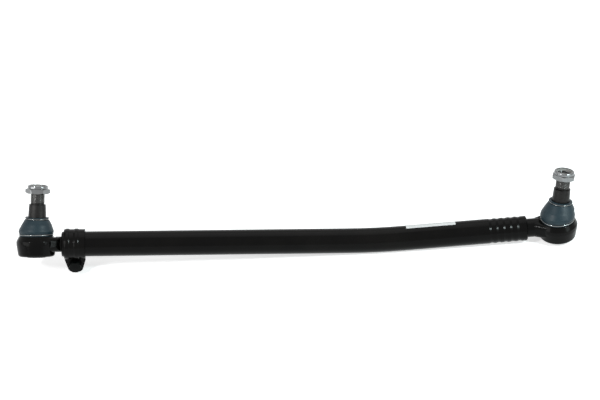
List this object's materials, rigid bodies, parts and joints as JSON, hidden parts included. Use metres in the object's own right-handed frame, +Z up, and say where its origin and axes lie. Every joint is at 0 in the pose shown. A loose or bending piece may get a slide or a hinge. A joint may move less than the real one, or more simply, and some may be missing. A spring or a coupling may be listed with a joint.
{
  "type": "tie rod",
  "caption": "Bent steel steering rod with a tapered ball stud at each end, one joint screwed in and clamped, the other crimped.",
  "frame": {"origin": "middle of the crimped (right) ball joint's cover, where the rod rests", "axes": "+X along the rod, outward past the crimped joint; +Z up as the rod rests on clamp ears and cover"},
  "size_m": [0.9405, 0.0934, 0.1516],
  "materials": {
    "black_paint": "semi-gloss black paint",
    "clamp_paint": "semi-gloss black paint",
    "forging_paint": "semi-gloss black paint on a forged skin",
    "dark_fastener": "black coated steel",
    "stud_steel": "dark ground and oiled steel",
    "zinc_plate": "bright zinc plate",
    "ring_wire": "bright spring wire",
    "spring_steel": "spring steel",
    "boot_rubber": "blue-grey rubber with a dull sheen",
    "seat_plastic": "moulded bearing plastic",
    "insert_plastic": "nylon insert of the lock nuts",
    "label_paper": "bare white paper label"
  },
  "bodies": {
    "rod": {"tube": "black_paint", "label": "label_paper", "clamp": "clamp_paint", "clamp_bolt": "dark_fastener", "clamp_nut": "dark_fastener", "front_washer": "dark_fastener", "rear_washer": "dark_fastener", "right_housing": "forging_paint", "right_upper_seat": "seat_plastic", "right_lower_seat": "seat_plastic", "right_spring": "spring_steel", "right_cover": "forging_paint", "right_boot_lower_ring": "ring_wire"},
    "left_end": {"left_housing": "forging_paint", "left_upper_seat": "seat_plastic", "left_lower_seat": "seat_plastic", "left_spring": "spring_steel", "left_cover": "forging_paint", "left_boot_lower_ring": "ring_wire"},
    "left_boot": {"left_boot": "boot_rubber"},
    "left_boot_lip": {"left_boot_upper_ring": "ring_wire"},
    "left_stud": {"left_stud": "stud_steel", "left_stud_nut": "zinc_plate", "left_nut_insert": "insert_plastic"},
    "right_boot": {"right_boot": "boot_rubber"},
    "right_boot_lip": {"right_boot_upper_ring": "ring_wire"},
    "right_stud": {"right_stud": "stud_steel", "right_stud_nut": "zinc_plate", "right_nut_insert": "insert_plastic"}
  },
  "joints": [
    {"name": "left_screw_travel", "type": "slide", "parent": "rod", "child": "left_end", "axis": [-0.998, 0, 0.0636], "range_m": [-0.005, 0.02]},
    {"name": "left_swing_across", "type": "hinge", "parent": "left_end", "child": "left_boot", "pos_m": [-0.87472, 0, 0.05178], "axis": [0.998, 0, -0.0636], "range_deg": [-18.5, 11.5], "deforming": ["left_boot"]},
    {"name": "left_swing_along", "type": "hinge", "parent": "left_boot", "child": "left_boot_lip", "pos_m": [-0.87472, 0, 0.05178], "axis": [-0.0284, 0.8949, -0.4453], "range_deg": [-17.6, 12.4], "deforming": ["left_boot"]},
    {"name": "left_stud_spin", "type": "hinge", "parent": "left_boot_lip", "child": "left_stud", "pos_m": [-0.87472, 0, 0.05178], "axis": [0.1021, 0.4457, 0.8893], "continuous": true},
    {"name": "right_swing_across", "type": "hinge", "parent": "rod", "child": "right_boot", "pos_m": [-0.00044, 0, 0.0218], "axis": [-0.9998, 0, -0.0201], "range_deg": [-24.5, 5.5], "deforming": ["right_boot"]},
    {"name": "right_swing_along", "type": "hinge", "parent": "right_boot", "child": "right_boot_lip", "pos_m": [-0.00044, 0, 0.0218], "axis": [-0.0033, -0.9863, 0.165], "range_deg": [-7, 23], "deforming": ["right_boot"]},
    {"name": "right_stud_spin", "type": "hinge", "parent": "right_boot_lip", "child": "right_stud", "pos_m": [-0.00044, 0, 0.0218], "axis": [0.1195, 0.1634, 0.9793], "continuous": true}
  ]
}
